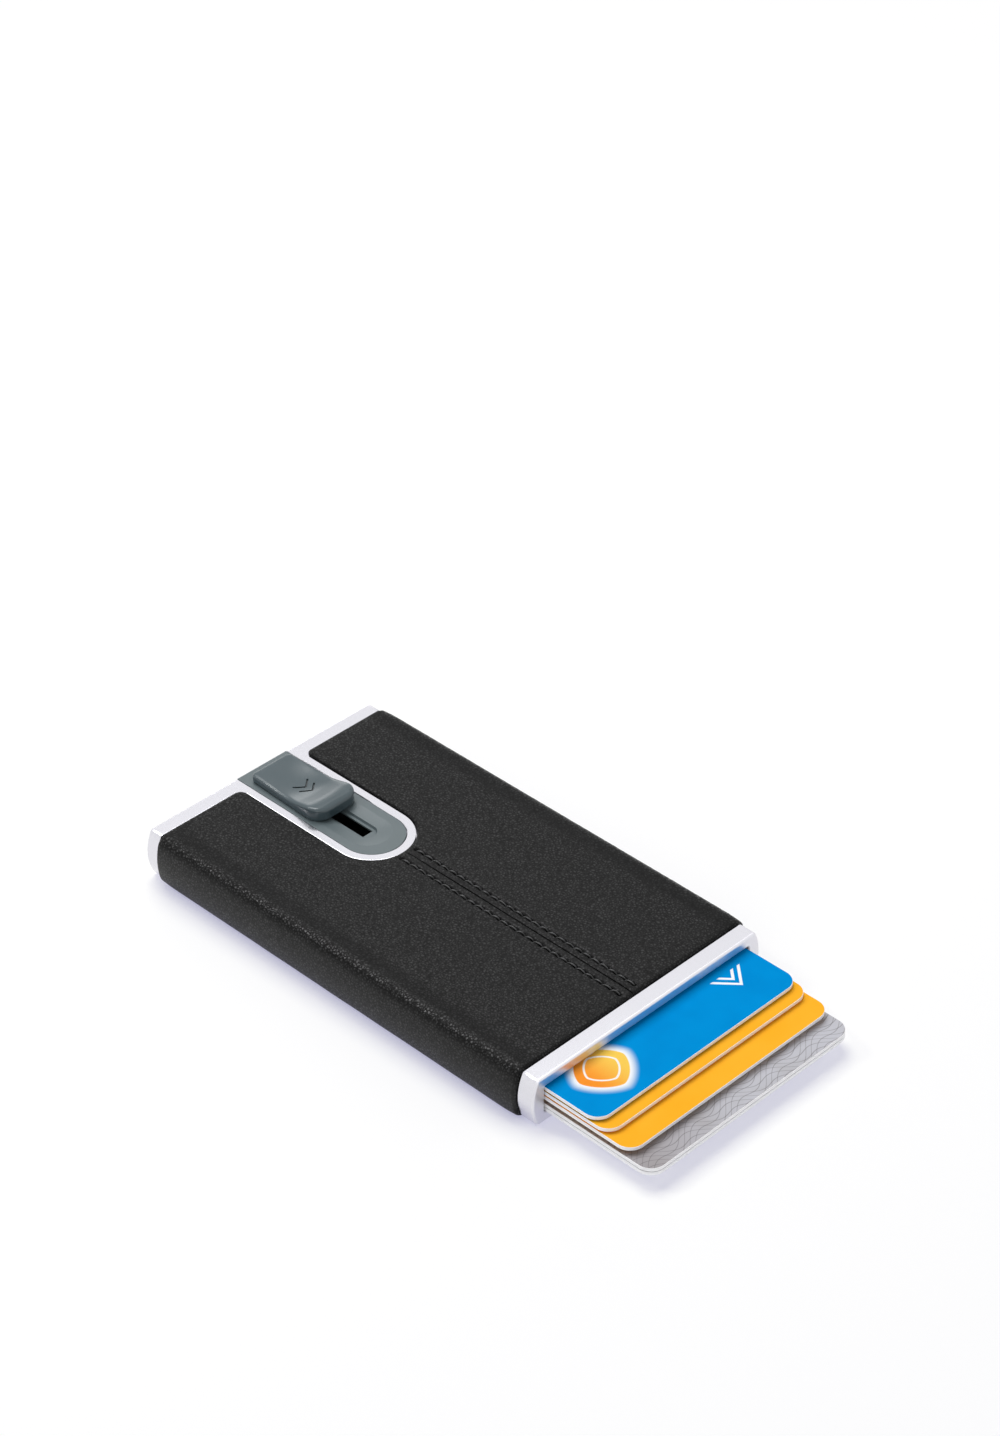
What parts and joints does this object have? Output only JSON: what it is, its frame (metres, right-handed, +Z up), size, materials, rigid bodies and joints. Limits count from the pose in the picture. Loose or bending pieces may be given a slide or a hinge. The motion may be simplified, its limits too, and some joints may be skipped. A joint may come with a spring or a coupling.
{
  "type": "pop up card holder",
  "caption": "Slim metal card sleeve in a leather wrap, with a thumb slider that fans the cards out of its mouth like a staircase.",
  "frame": {"origin": "centre of the underside, on the surface that the holder lies on", "axes": "+Y towards the closed end, -Y out of the mouth, +X across the width, +Z up through the slider"},
  "size_m": [0.0624, 0.1295, 0.0139],
  "materials": {
    "aluminium": "satin anodised",
    "leather": "fine grain, matte",
    "thread": "twisted thread",
    "grey_plastic": "smooth",
    "black_plastic": "moulded",
    "steel": "bright",
    "felt": "felt",
    "blue_card": "gloss laminate",
    "yellow_card": "gloss laminate",
    "silver_card": "gloss laminate",
    "white_card": "gloss laminate"
  },
  "bodies": {
    "case": {"case_body": "aluminium", "leather_wrap": "leather", "stitch_row_left": "thread", "stitch_row_right": "thread", "track_insert": "grey_plastic", "rear_plug": "black_plastic", "plug_screw_left": "steel", "plug_screw_right": "steel", "felt_strip_left": "felt", "felt_strip_right": "felt", "pivot_rivet": "steel", "return_spring": "steel"},
    "slider": {"thumb_pad": "grey_plastic", "pusher_shoe": "black_plastic", "drive_pin": "steel", "pad_screw": "steel"},
    "lever": {"stepped_lever": "black_plastic"},
    "card_blue_body": {"card_blue": "blue_card"},
    "card_yellow_upper_body": {"card_yellow_upper": "yellow_card"},
    "card_yellow_lower_body": {"card_yellow_lower": "yellow_card"},
    "card_silver_body": {"card_silver": "silver_card"},
    "card_white_body": {"card_white": "white_card"}
  },
  "joints": [
    {"name": "slider_slide", "type": "slide", "parent": "case", "child": "slider", "axis": [0, -1, 0], "range_m": [0, 0.01319], "stiffness_N_per_m": 60, "springref_m": -0.006},
    {"name": "lever_swing", "type": "hinge", "parent": "case", "child": "lever", "pos_m": [-0.01572, 0.0376, 0.005], "axis": [0, 0, -1], "range_deg": [0, 40], "deforming": ["return_spring"]},
    {"name": "card_blue_slide", "type": "slide", "parent": "case", "child": "card_blue_body", "axis": [0, -1, 0], "range_m": [-0.01319, 0.07591]},
    {"name": "card_yellow_upper_slide", "type": "slide", "parent": "case", "child": "card_yellow_upper_body", "axis": [0, -1, 0], "range_m": [-0.0158, 0.0733]},
    {"name": "card_yellow_lower_slide", "type": "slide", "parent": "case", "child": "card_yellow_lower_body", "axis": [0, -1, 0], "range_m": [-0.021, 0.0681]},
    {"name": "card_silver_slide", "type": "slide", "parent": "case", "child": "card_silver_body", "axis": [0, -1, 0], "range_m": [-0.026, 0.0631]},
    {"name": "card_white_slide", "type": "slide", "parent": "case", "child": "card_white_body", "axis": [0, -1, 0], "range_m": [-0.026, 0.0631]}
  ],
  "couplings": [
    {"joint": "lever_swing", "follows": "slider_slide", "rad_per_m": 52.932}
  ]
}
